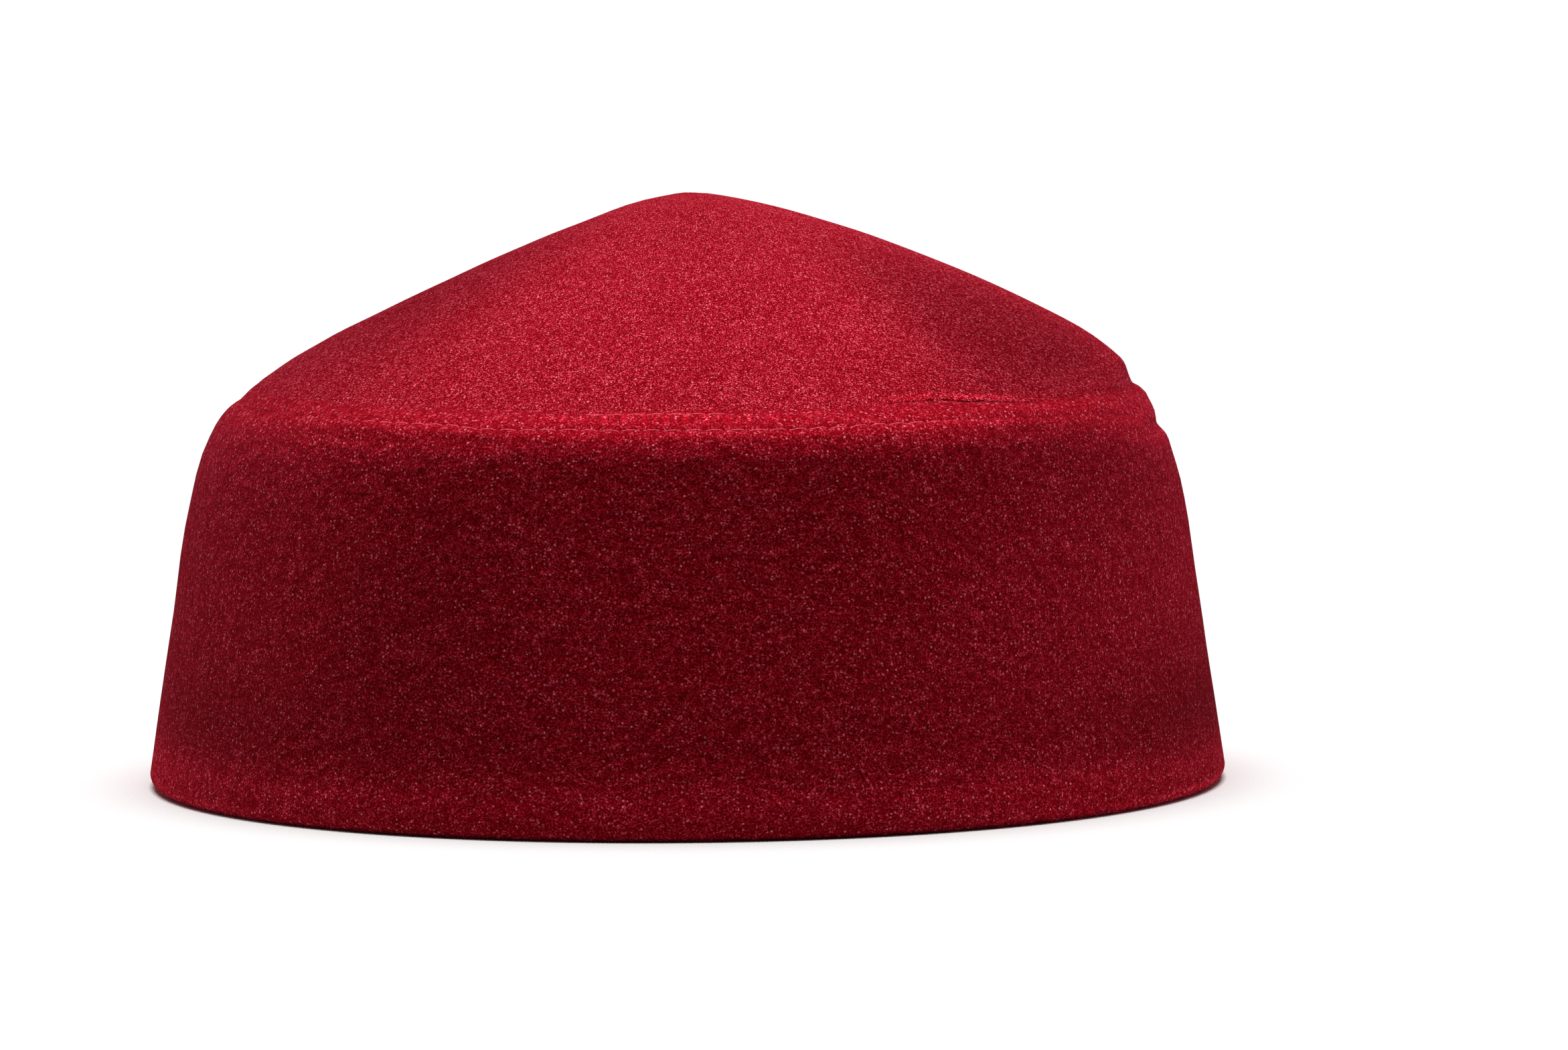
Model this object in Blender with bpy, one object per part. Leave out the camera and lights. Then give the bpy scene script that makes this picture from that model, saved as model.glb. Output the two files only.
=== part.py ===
"""A low fez cap of red wool felt: a tapered side band and a pointed crown tip, sewn together.

The cap stands on z = 0 with its middle on the Z axis. Its front looks towards -Y, and +X is the
right side as seen from the front. Sizes are in millimetres up to `as_mesh`, which makes metres.

Everything on the cap is placed by two numbers: the azimuth, in degrees round the cap from the
front towards +X, and the run, in millimetres down the side from the point at the top.
"""

from collections import namedtuple

import bpy
import numpy as np

MM = 0.001

# Felt, in mm
FELT = 2.2  # thickness of both pieces
SEAM_FELT = 1.3  # pressed thinner where they lap
SEAM_EDGE = 0.7  # and thinner still at the edges of the lap
SEAM_LAP = 7.0  # how far the crown tip runs on under the band
SEAM_GAP = 0.3  # clearance between the two pieces
LAP_MARGIN = 1.0  # how far past the lap the band stays pressed
EDGE_ROUND = 0.4  # how far a cut edge stands out at half its thickness

# Lower edge, in mm: the band is turned up inside
HEM_FOLD = 2.5  # outer radius of the fold
HEM_FLAT = 1.2  # width of the flat ring that the cap stands on
HEM_TURN = 14.0  # height of the edge that is turned up
HEM_GAP = 0.4  # gap that is left between the layers at the top of the turned edge
HEM_STEPS = 3  # flats in each quarter of the fold

SEGMENTS = 64  # round the cap

# The outer form in rings from the point down. Each ring is an ellipse: its height, its half width
# from side to side, its half depth from front to back, and how far its middle is moved to +X.
Ring = namedtuple("Ring", "name height half_width half_depth shift")
RINGS = (
    Ring("point", 104.0, 0.0, 0.0, 1.4),
    Ring("point_edge", 102.9, 7.8, 6.8, 1.9),
    Ring("cone_top", 98.0, 24.0, 17.2, 3.8),
    Ring("cone_high", 91.0, 41.6, 32.0, 4.7),
    Ring("cone_middle", 84.0, 56.8, 47.0, 4.8),
    Ring("cone_low", 77.5, 69.1, 61.5, 4.0),
    Ring("join", 71.0, 77.8, 76.0, 2.3),
    Ring("shoulder", 68.0, 80.6, 83.2, 1.6),
    Ring("shoulder_edge", 65.5, 82.7, 85.3, 1.1),
    Ring("below_shoulder", 60.0, 85.3, 86.5, 0.6),
    Ring("wall_high", 50.0, 87.8, 88.0, 0.3),
    Ring("wall_middle", 30.0, 90.9, 90.9, 0.1),
    Ring("hem", HEM_FOLD, 95.1, 95.1, 0.0),
)

# Folds and puckers of the felt: where the middle of each is, as an azimuth and as a run counted
# from the join, how far it reaches each way, and how far the felt goes out, or in if negative.
Fold = namedtuple("Fold", "name azimuth span run reach depth")
FOLDS = (
    Fold("right_join_valley", 95.0, 40.0, -0.4, 3.4, -1.5),
    Fold("right_strip_sag", 95.0, 40.0, 4.6, 4.0, -0.6),
    Fold("right_row_pinch", 95.0, 38.0, 10.0, 2.8, -1.5),
    Fold("right_cone_hollow", 64.0, 24.0, -7.0, 6.5, -1.0),
    Fold("front_edge_lift", 37.0, 15.0, -1.8, 2.2, 0.7),
    Fold("left_join_valley", -90.0, 34.0, -0.6, 2.6, -0.2),
)

# Runs at which each piece gets a ring of vertices, counted from the join
CONE_RUNS = (4.0, 9.0, 16.0, 26.0, 37.0, 48.0, 58.0, 67.0)  # these from the point instead
VALLEY_RUNS = (-9.0, -6.5, -4.0, -2.5, -1.2)
LAP_RUNS = (EDGE_ROUND, 1.5, 3.0, 5.0, SEAM_LAP)
WALL_RUNS = (8.4, 9.9, 11.4, 14.0, 18.0, 24.0, 33.0, 50.0)
VALLEY_LENGTH = 4.0  # over this the crown tip goes down to the lap, and the lap thickens

FELT_RED = (0.26, 0.006, 0.014, 1.0)
FELT_ROUGHNESS = 0.95
SHARP_ANGLE = 50.0  # degrees: only the cut edges are shaded sharp
SLOPE_STEP = 0.05  # mm of run each way, for the slope of the outer form


def spline(at, knots, values):
    """A smooth curve through the rows of values, which stand at the given knots.

    Between two knots it is the cubic that has each knot's slope: the mean of the slopes on its
    two sides, weighted towards the nearer neighbour.
    """
    step = np.diff(knots)[:, None]
    rise = np.diff(values, axis=0) / step
    between = (rise[:-1] * step[1:] + rise[1:] * step[:-1]) / (step[1:] + step[:-1])
    slope = np.vstack((rise[:1], between, rise[-1:]))
    left = np.clip(np.searchsorted(knots, at, side="right") - 1, 0, len(step) - 1)
    width = step[left]
    t = (np.asarray(at, float)[:, None] - knots[left][:, None]) / width
    start = values[left] * (1 + 2 * t) * (1 - t) ** 2 + slope[left] * width * t * (1 - t) ** 2
    end = values[left + 1] * (3 - 2 * t) * t**2 + slope[left + 1] * width * t**2 * (t - 1)
    return start + end


def form_table():
    """The knots and values of RINGS: the run of each ring, and its four sizes.

    The ring below the point is repeated on the far side of it, so the point comes out round.
    """
    sizes = np.array([ring[1:] for ring in RINGS])
    mirrored = sizes[1] * (1, -1, -1, 1)
    profile = sizes[:, :2]
    runs = np.concatenate(([0.0], np.cumsum(np.linalg.norm(np.diff(profile, axis=0), axis=1))))
    return np.concatenate(([-runs[1]], runs)), np.vstack((mirrored, sizes))


KNOTS, SIZES = form_table()
JOIN_RUN = KNOTS[1 + [ring.name for ring in RINGS].index("join")]
HEM_RUN = KNOTS[-1]
AZIMUTHS = np.radians(np.arange(SEGMENTS) * 360.0 / SEGMENTS)


def bell(distance, reach):
    """1 in the middle, 0 from reach outwards, with round shoulders."""
    return np.cos(np.clip(distance / reach, -1, 1) * np.pi / 2) ** 2


def smooth_step(t):
    """0 below 0, 1 above 1, and an even S between them."""
    t = np.clip(t, 0, 1)
    return t * t * (3 - 2 * t)


def ellipses(sizes):
    """Rings of points from rows of height, half width, half depth and shift."""
    height, half_width, half_depth, shift = (column[:, None] for column in np.asarray(sizes).T)
    x = shift + half_width * np.sin(AZIMUTHS)
    y = -half_depth * np.cos(AZIMUTHS)
    return np.stack((x, y, np.broadcast_to(height, x.shape)), axis=2)


def outer_form(runs):
    """Points of the smooth outer form at each run and azimuth, and its normals there."""
    runs = np.asarray(runs, float)
    points = ellipses(spline(runs, KNOTS, SIZES))
    above = ellipses(spline(runs - SLOPE_STEP, KNOTS, SIZES))
    down = ellipses(spline(runs + SLOPE_STEP, KNOTS, SIZES)) - above
    along = np.roll(points, -1, axis=1) - np.roll(points, 1, axis=1)
    normals = np.cross(down, along)
    length = np.linalg.norm(normals, axis=2, keepdims=True)
    at_point = length < 1e-9
    return points, np.where(at_point, (0.0, 0.0, 1.0), normals / np.where(at_point, 1, length))


def fold_heights(runs):
    """How far FOLDS move the felt outwards at each run and azimuth."""
    runs = np.asarray(runs, float)[:, None]
    total = np.zeros((len(runs), SEGMENTS))
    for fold in FOLDS:
        turn = (np.degrees(AZIMUTHS) - fold.azimuth + 180) % 360 - 180
        total += fold.depth * bell(turn, fold.span) * bell(runs - JOIN_RUN - fold.run, fold.reach)
    return total


def felt_rings(runs, depth):
    """Rings of points that lie depth below the outer form, one depth for each run."""
    points, normals = outer_form(runs)
    lift = fold_heights(runs) - np.asarray(depth, float)[:, None]
    return points + normals * lift[:, :, None]


def lap_thickness(run_from_join):
    """The band's thickness: thin at its upper edge, pressed over the lap, then full."""
    past_lap = run_from_join - SEAM_LAP - LAP_MARGIN
    pressed = SEAM_EDGE + (SEAM_FELT - SEAM_EDGE) * smooth_step(run_from_join / VALLEY_LENGTH)
    return pressed + (FELT - SEAM_FELT) * smooth_step(past_lap / VALLEY_LENGTH)


def crown_depth(run_from_join):
    """How far the crown tip's top lies below the outer form: under the band, a gap below it."""
    under_band = SEAM_GAP + lap_thickness(np.clip(run_from_join, 0, SEAM_LAP))
    return under_band * smooth_step(1 + run_from_join / VALLEY_LENGTH)


def crown_thickness(run_from_join):
    """The crown tip's thickness: full on the cone, pressed over the lap."""
    return FELT + (SEAM_FELT - FELT) * smooth_step(1 + run_from_join / VALLEY_LENGTH)


def every_other(values):
    """Every other value, and the last: the felt's inside needs fewer rings than its outside."""
    return np.append(values[:-1:2], values[-1])


def crown_tip_rings():
    """Rings of the crown tip: over the top from the point to its edge, and back inside."""
    runs = np.concatenate(((0.0,), CONE_RUNS, JOIN_RUN + np.array(VALLEY_RUNS + (0.0,) + LAP_RUNS)))
    from_join = runs - JOIN_RUN
    top = crown_depth(from_join)
    bottom = top + crown_thickness(from_join)
    edge = felt_rings(runs[-1:] + EDGE_ROUND, (top[-1:] + bottom[-1:]) / 2)
    inside = felt_rings(every_other(runs), every_other(bottom))
    return np.concatenate((felt_rings(runs, top), edge, inside[::-1]))


def hem_rings():
    """Rings of the band's two faces round the hem, from the wall down, round and up inside."""
    quarter = np.linspace(0, np.pi / 2, HEM_STEPS + 1)
    hem = RINGS[-1]
    turns = np.concatenate((quarter, quarter + np.pi / 2))
    middle = np.where(np.arange(len(turns)) <= HEM_STEPS, hem.half_width - HEM_FOLD,
                      hem.half_width - HEM_FOLD - HEM_FLAT)

    def face(radius):
        reach = middle + radius * np.cos(turns)
        height = HEM_FOLD - radius * np.sin(turns)
        return np.stack((height, reach, reach, np.zeros_like(reach)), axis=1)

    wall_top = spline(np.array([HEM_RUN - HEM_TURN + HEM_FOLD]), KNOTS, SIZES)[0]
    inside = wall_top[1] - 2 * FELT - HEM_GAP
    turned = [(HEM_TURN, inside, inside, 0.0), (HEM_TURN, inside + FELT, inside + FELT, 0.0)]
    round_top = (HEM_TURN + EDGE_ROUND, inside + FELT / 2, inside + FELT / 2, 0.0)
    outside = np.vstack((face(HEM_FOLD), turned[0], round_top))
    return ellipses(outside), ellipses(np.vstack((turned[1], face(HEM_FOLD - FELT)[::-1])))


def side_band_rings():
    """Rings of the side band: down its outside, round the hem, and back up inside."""
    outside_runs = np.array(LAP_RUNS + WALL_RUNS)
    inside_runs = np.append(LAP_RUNS, every_other(WALL_RUNS))
    hem_outside, hem_inside = hem_rings()
    upper_edge = felt_rings([JOIN_RUN], [SEAM_EDGE / 2])
    outside = felt_rings(JOIN_RUN + outside_runs, np.zeros_like(outside_runs))
    inside = felt_rings(JOIN_RUN + inside_runs, lap_thickness(inside_runs))
    return np.concatenate((upper_edge, outside, hem_outside, hem_inside, inside[::-1]))


def as_mesh(name, rings, closed):
    """A mesh in metres whose faces join each ring to the next, and the last to the first.

    If it isn't closed, its first and last rings are single points, and each becomes one vertex.
    """
    points = rings.reshape(-1, 3) * MM
    count, around = rings.shape[:2]
    vertex = np.arange(count * around).reshape(count, around)
    if not closed:
        vertex[0], vertex[-1] = vertex[0, 0], vertex[-1, 0]
    upper = vertex if closed else vertex[:-1]
    lower = np.roll(vertex, -1, axis=0) if closed else vertex[1:]
    quads = np.stack((upper, lower, np.roll(lower, -1, axis=1), np.roll(upper, -1, axis=1)), axis=2)
    faces = [tuple(dict.fromkeys(quad)) for quad in quads.reshape(-1, 4).tolist()]
    used = sorted({corner for face in faces for corner in face})
    place = {old: new for new, old in enumerate(used)}
    mesh = bpy.data.meshes.new(name)
    mesh.from_pydata(points[used].tolist(), [], [[place[corner] for corner in face] for face in faces])
    mesh.validate()
    return mesh


def felt_material(name):
    material = bpy.data.materials.new(name)
    material.use_nodes = True
    shader = material.node_tree.nodes["Principled BSDF"]
    shader.inputs["Base Color"].default_value = FELT_RED
    shader.inputs["Roughness"].default_value = FELT_ROUGHNESS
    shader.inputs["Metallic"].default_value = 0.0
    return material


def add_piece(name, rings, closed):
    mesh = as_mesh(name, rings, closed)
    mesh.materials.append(felt_material(name + "_felt"))
    mesh.shade_smooth()
    mesh.set_sharp_from_angle(angle=np.radians(SHARP_ANGLE))
    piece = bpy.data.objects.new(name, mesh)
    bpy.context.scene.collection.objects.link(piece)
    return piece


def main():
    for old in list(bpy.data.objects):
        bpy.data.objects.remove(old, do_unlink=True)
    add_piece("crown_tip", crown_tip_rings(), closed=False)
    add_piece("side_band", side_band_rings(), closed=True)


main()
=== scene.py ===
# %% [markdown]
# # A low fez cap of red wool felt
#
# The real cap is two pieces of pressed felt: a tapered side band whose lower edge is turned up
# inside, and a low pointed crown. The crown's edge runs in under the top of the band, and two rows
# of topstitching hold the lap along the shoulder. There is no brim, no tassel and no lining.
#
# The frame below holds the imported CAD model. Nothing in it is moved: the new pieces are worked out
# from the same few rings, with finer felt, a tight seam and the stitches.

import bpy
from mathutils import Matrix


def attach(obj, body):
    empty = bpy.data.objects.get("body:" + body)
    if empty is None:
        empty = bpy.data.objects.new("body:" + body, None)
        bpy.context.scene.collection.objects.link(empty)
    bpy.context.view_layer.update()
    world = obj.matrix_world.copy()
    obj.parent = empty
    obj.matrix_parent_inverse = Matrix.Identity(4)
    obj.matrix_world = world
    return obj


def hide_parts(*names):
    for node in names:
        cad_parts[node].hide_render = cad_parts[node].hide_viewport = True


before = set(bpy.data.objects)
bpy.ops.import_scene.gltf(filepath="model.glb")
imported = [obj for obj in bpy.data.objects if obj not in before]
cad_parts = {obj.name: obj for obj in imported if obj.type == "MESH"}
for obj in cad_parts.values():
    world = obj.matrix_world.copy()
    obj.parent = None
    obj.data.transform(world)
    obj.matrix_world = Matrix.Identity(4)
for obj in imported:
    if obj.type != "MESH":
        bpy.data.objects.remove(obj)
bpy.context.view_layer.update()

# %% Libraries and units
from collections import namedtuple

import bpy
import numpy as np
from mathutils import Matrix, Vector

MM = 0.001  # lengths are in millimetres until a mesh is made

# %% [markdown]
# ## The outer form
#
# A felt hat is blocked: the damp felt is pulled over a form and dries in its shape. So the cap is
# described by the form, and each felt piece is a skin that lies on it.
#
# A turned profile would be the quick way, but this cap is deeper than it is wide along the
# shoulder, and its cone leans to the right. So the form is a stack of ellipses, and a smooth curve
# runs through the sizes of the rings. A place on the form is given by its azimuth round the cap,
# from the front towards +X, and its run down the side from the point.

# %% The rings of the form
FELT = 2.2  # thickness of the felt
HEM_FOLD = 2.5  # outer radius of the fold at the lower edge

Ring = namedtuple("Ring", "name height half_width half_depth shift")
RINGS = (
    Ring("point", 104.0, 0.0, 0.0, 1.4),
    Ring("point_edge", 102.9, 7.8, 6.8, 1.9),
    Ring("cone_top", 98.0, 24.0, 17.2, 3.8),
    Ring("cone_high", 91.0, 41.6, 32.0, 4.7),
    Ring("cone_middle", 84.0, 56.8, 47.0, 4.8),
    Ring("cone_low", 77.5, 69.1, 61.5, 4.0),
    Ring("join", 71.0, 77.8, 76.0, 2.3),
    Ring("shoulder", 68.0, 80.6, 83.2, 1.6),
    Ring("shoulder_edge", 65.5, 82.7, 85.3, 1.1),
    Ring("below_shoulder", 60.0, 85.3, 86.5, 0.6),
    Ring("wall_high", 50.0, 87.8, 88.0, 0.3),
    Ring("wall_middle", 30.0, 90.9, 90.9, 0.1),
    Ring("hem", HEM_FOLD, 95.1, 95.1, 0.0),
)


def form_table():
    """The run of each ring, and its sizes.

    A run is the length of the straight steps through (half width, height), ring by ring. The ring
    below the point is repeated on the far side of it, so the point comes out round.
    """
    sizes = np.array([ring[1:] for ring in RINGS])
    steps = np.linalg.norm(np.diff(sizes[:, :2], axis=0), axis=1)
    runs = np.concatenate(([0.0], np.cumsum(steps)))
    mirrored = sizes[1] * (1, -1, -1, 1)
    return np.concatenate(([-runs[1]], runs)), np.vstack((mirrored, sizes))


KNOTS, SIZES = form_table()
JOIN_RUN = KNOTS[1 + [ring.name for ring in RINGS].index("join")]
HEM_RUN = KNOTS[-1]
print(f"run from the point to the join {JOIN_RUN:.1f} mm, to the hem {HEM_RUN:.1f} mm")


# %% Points and normals of the form
def spline(at):
    """The four ring sizes at each run, on a cubic through the rings.

    The slope at a ring is the mean of the slopes on its two sides, weighted to the nearer ring.
    """
    step = np.diff(KNOTS)[:, None]
    rise = np.diff(SIZES, axis=0) / step
    between = (rise[:-1] * step[1:] + rise[1:] * step[:-1]) / (step[1:] + step[:-1])
    slope = np.vstack((rise[:1], between, rise[-1:]))
    left = np.clip(np.searchsorted(KNOTS, at, side="right") - 1, 0, len(step) - 1)
    width = step[left]
    t = (np.asarray(at)[..., None] - KNOTS[left][..., None]) / width
    start = SIZES[left] * (1 + 2 * t) * (1 - t) ** 2 + slope[left] * width * t * (1 - t) ** 2
    end = SIZES[left + 1] * (3 - 2 * t) * t**2 + slope[left + 1] * width * t**2 * (t - 1)
    return start + end


def form_points(run, turn):
    """x = shift + half_width sin(turn), y = -half_depth cos(turn), z = height."""
    height, half_width, half_depth, shift = np.moveaxis(spline(run), -1, 0)
    x = shift + half_width * np.sin(turn)
    return np.stack((x, -half_depth * np.cos(turn), height + 0 * turn), axis=-1)


SLOPE_STEP = 0.05  # run each way, for slopes


def form_normals(run, turn):
    """The slope down the side crossed with the slope round the cap, made one long."""
    down = form_points(run + SLOPE_STEP, turn) - form_points(run - SLOPE_STEP, turn)
    sizes = spline(run)
    along = np.stack((sizes[..., 1] * np.cos(turn), sizes[..., 2] * np.sin(turn), 0 * turn), axis=-1)
    normal = np.cross(down, along)
    return normal / np.maximum(np.linalg.norm(normal, axis=-1, keepdims=True), 1e-12)


# %% [markdown]
# ## Millimetres on the felt
#
# A run isn't a true length: along the front the form goes out further than along the sides, so one
# run there is nearly two millimetres of felt. Stitches and seam edges have real sizes, so a table
# turns true distances down the felt, counted from the join, into runs.

# %% Distances down the felt
COLUMNS = 1280  # points round the seam, 0.4 mm apart
TURNS = np.arange(COLUMNS) * 2 * np.pi / COLUMNS
FINE_STEP = 0.25
FINE_RUNS = np.arange(0, HEM_RUN + FINE_STEP, FINE_STEP)
APART = 1000.0  # keeps the columns apart when all are looked up at once


def distance_table():
    """The length of felt from the join to each fine run, for each column."""
    points = form_points(FINE_RUNS[:, None], TURNS[None])
    steps = np.linalg.norm(np.diff(points, axis=0), axis=-1)
    table = np.vstack((np.zeros(COLUMNS), np.cumsum(steps, axis=0)))
    place = JOIN_RUN / FINE_STEP
    part = place - int(place)
    return table - (table[int(place)] * (1 - part) + table[int(place) + 1] * part)


DISTANCES = distance_table()
LONG_TABLE = (DISTANCES + APART * np.arange(COLUMNS)).T.ravel()
LONG_RUNS = np.tile(FINE_RUNS, COLUMNS)


def between_columns(turn):
    """The column on each side of a turn, and how far the turn is on the way to the second."""
    place = turn / (2 * np.pi) * COLUMNS
    left = np.floor(place).astype(int)
    return left % COLUMNS, (left + 1) % COLUMNS, place - left


def run_at(distance, turn):
    """The run at each distance from the join: looked up in the columns on both sides of the turn.

    All columns are in one long table, in which each column is 1000 mm after the last.
    """
    left, right, part = between_columns(turn)
    on_left = np.interp(distance + APART * left, LONG_TABLE, LONG_RUNS)
    on_right = np.interp(distance + APART * right, LONG_TABLE, LONG_RUNS)
    return on_left * (1 - part) + on_right * part


def around(values, turn):
    """Values that are known for each column, at any turn."""
    left, right, part = between_columns(turn)
    return values[left] * (1 - part) + values[right] * part


POINT_DISTANCE = -DISTANCES[0]
HEM_DISTANCE = DISTANCES[-1] - (FINE_RUNS[-1] - HEM_RUN)
print(f"felt from join to hem: front {HEM_DISTANCE[0]:.1f} mm, right {HEM_DISTANCE[COLUMNS // 4]:.1f} mm")

# %% [markdown]
# ## Folds, seam and stitch rows
#
# What makes the cap look sewn is small. At its right the felt is pinched into two valleys with a
# roll between them. At the front right the crown's edge lifts over a short open crease. The lower
# row of stitches runs in a fine groove along the edge of the shoulder. Each of these is a row in a
# short table, and adds its height to the smooth form. The photograph gives the azimuths and runs.

# %% Tables of folds, and how they round off
Fold = namedtuple("Fold", "name azimuth span run reach depth")
FOLDS = (
    Fold("right_join_valley", 95.0, 40.0, 0.2, 5.2, -1.5),
    Fold("right_strip_sag", 95.0, 40.0, 5.6, 3.3, -1.0),
    Fold("right_row_pinch", 95.0, 38.0, 9.4, 4.0, -1.45),
    Fold("right_wall_top", 95.0, 38.0, 14.0, 7.8, -0.5),
    Fold("right_cone_hollow", 64.0, 24.0, -7.0, 6.5, -1.0),
    Fold("right_seam_ridge", 68.0, 26.0, -0.8, 1.7, 0.22),
    Fold("left_join_valley", -90.0, 36.0, -1.3, 5.8, -0.25),
    Fold("left_shoulder_sag", -90.0, 34.0, 2.6, 3.8, -0.45),
    Fold("left_shoulder_edge", -42.0, 38.0, 4.6, 3.4, 0.55),
    Fold("front_shoulder_edge", 0.0, 80.0, 5.5, 1.8, 0.15),
)


def smooth_step(t):
    """0 below 0, 1 above 1, and an even S between them."""
    t = np.clip(t, 0, 1)
    return t * t * (3 - 2 * t)


def bell(distance, reach):
    """1 in the middle, 0 from reach outwards, with round shoulders."""
    return np.cos(np.clip(distance / reach, -1, 1) * np.pi / 2) ** 2


def turned_from(turn, azimuth):
    """Degrees from azimuth to each turn, from -180 to 180."""
    return (np.degrees(turn) - azimuth + 180) % 360 - 180


def along_table(turn, points):
    """A value round the cap, with S-shaped steps between (azimuth, value) points."""
    azimuths, values = np.array(points, float).T
    at = turned_from(turn, 0.0)
    left = np.clip(np.searchsorted(azimuths, at, side="right") - 1, 0, len(azimuths) - 2)
    t = smooth_step((at - azimuths[left]) / (azimuths[left + 1] - azimuths[left]))
    return values[left] * (1 - t) + values[left + 1] * t


# %% Where the seam and the stitch rows run
STITCHES = 142  # in each row, 3.6 mm each
At = namedtuple("At", "azimuth value")
LOWER_ROW_RUN = (  # runs from the join to the lower row of stitches
    At(-180, 3.8), At(-90, 3.8), At(-33, 3.7), At(-26, 4.2), At(-14, 3.8), At(6, 3.8), At(18, 3.7),
    At(27, 3.4), At(36, 3.4), At(50, 4.4), At(64, 5.8), At(74, 7.8), At(84, 9.8), At(100, 10.2),
    At(125, 7.0), At(150, 4.4), At(180, 3.8),
)
SEAM_SHIFT = (  # how far the visible seam wanders from the join, in mm of felt
    At(-180, 0), At(20, 0), At(27.5, -1.1), At(31.5, -1.3), At(37, 0), At(45, 1.5), At(54, 0.6), At(66, 0),
    At(180, 0),
)
SEAM_LIFT = (  # how far the crown's edge stands up there, between two stitches
    At(-180, 0), At(22, 0), At(26.5, 0.18), At(31, 0.25), At(36, 0.34), At(41, 0.26), At(46, 0.1), At(50, 0),
    At(180, 0),
)
UPPER_ROW = 1.5  # mm of felt below the join
LOWER_SINK = (  # how deep the nap has closed over the lower row
    At(-180, 0), At(-100, 0.15), At(-60, 0.25), At(-43, 0.1), At(-36, 0), At(22, 0), At(31, 0.09),
    At(38, 0.2), At(70, 0.35), At(120, 0.3), At(150, 0), At(180, 0),
)
UPPER_SINK = (  # and over the upper row
    At(-180, 0.05), At(-60, 0.4), At(-22, 0.35), At(-12, 0.05), At(2, 0.05), At(10, 0.3), At(30, 0.45),
    At(120, 0.45), At(180, 0.05),
)
DEEPEST_SINK = 0.4  # here a row's groove has closed too


def distances_of(runs):
    """The distance from the join at one run in each column."""
    place = runs / FINE_STEP
    whole = place.astype(int)
    part = place - whole
    column = np.arange(COLUMNS)
    return DISTANCES[whole, column] * (1 - part) + DISTANCES[whole + 1, column] * part


ROW = distances_of(JOIN_RUN + along_table(TURNS, LOWER_ROW_RUN))
SEAM = along_table(TURNS, SEAM_SHIFT)
HELD_DOWN = 0.6  # at the needle holes, the stitches hold the lifted edge down by this share
LIFT = along_table(TURNS, SEAM_LIFT) * (1 - HELD_DOWN * (0.5 - 0.5 * np.cos(STITCHES * TURNS)))
print(f"lower stitch row: {ROW.min():.1f} to {ROW.max():.1f} mm of felt below the join")
print(f"open crease: the crown's edge stands up to {LIFT.max():.2f} mm high")

# %% [markdown]
# The felt is never quite even either. A sum of long, low waves moves its surface by less than a
# tenth of a millimetre, which light from above shows as soft mottling on the steep side. They come
# from a seeded generator, so every run of this script gives the same cap.

# %% Waves of the felt
WAVES = 36
WAVE_HEIGHT = 0.036
HEM_FADE = 8.0  # over this the felt comes to rest above the hem
chance = np.random.default_rng(11)
WAVE_ROUND = chance.integers(2, 26, WAVES)  # waves in a full turn
WAVE_DOWN = chance.uniform(-0.42, 0.42, WAVES)  # radians for each mm down the felt
WAVE_START = chance.uniform(0, 2 * np.pi, WAVES)


def felt_waves(distance, turn):
    """The sum of cos(number x turn + slope x distance + start), usually about WAVE_HEIGHT high."""
    phase = WAVE_ROUND * turn[..., None] + WAVE_DOWN * distance[..., None] + WAVE_START
    return WAVE_HEIGHT * np.cos(phase).sum(axis=-1) / np.sqrt(WAVES / 2)


# %% The relief of the felt
ROW_GROOVE, ROW_REACH = 0.24, 0.8  # how deep the row's groove is, and how far it reaches each way
UPPER_GROOVE = 0.7  # the upper row's groove, as a share of the lower row's
BETWEEN_HOLES = 0.15  # the groove between two needle holes, as a share of that at a hole
STRIP_PUFF = 0.18  # how far the strip between the rows stands out
LADDER_DEPTH = 0.28  # height of the ribs across the strip
HALF_RIB = 0.6  # height of the rib half a stitch on, as a share
CLEAREST = -3.0  # azimuth where the ribs and the upper groove show best
LADDER_SPAN, GROOVE_SPAN = 26.0, 40.0  # degrees each way from there
LADDER_ELSEWHERE = 0.2  # share of the ribs' height that is left outside that


def patches(table, run, turn):
    """The sum over the table of depth x a bell round the azimuth x a bell down the run."""
    total = 0.0
    for patch in table:
        round_the_cap = bell(turned_from(turn, patch.azimuth), patch.span)
        total = total + patch.depth * round_the_cap * bell(run - JOIN_RUN - patch.run, patch.reach)
    return total


def needle_holes(turn):
    """0 at the middle of each stitch and 1 at the needle holes between them."""
    return 0.5 - 0.5 * np.cos(STITCHES * turn)


def ladder(turn, between=0.0):
    """Ribs of felt that the thread pulls up: sharp ones at the needle holes, lower ones between.

    The cube of the needle holes' wave, and HALF_RIB times the same half a stitch on. `between` is
    how far below 0 the value goes between the ribs, which makes the painted shade between them.
    """
    clear = LADDER_ELSEWHERE + (1 - LADDER_ELSEWHERE) * bell(turned_from(turn, CLEAREST), LADDER_SPAN)
    ribs = needle_holes(turn) ** 3 + HALF_RIB * needle_holes(turn + np.pi / STITCHES) ** 3
    return clear * (ribs - between)


def across_strip(distance, turn):
    """0 at the seam and 1 at the lower row, and no further."""
    seam, row = around(SEAM, turn), around(ROW, turn)
    return np.clip((distance - seam) / (row - seam), 0, 1)


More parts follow.
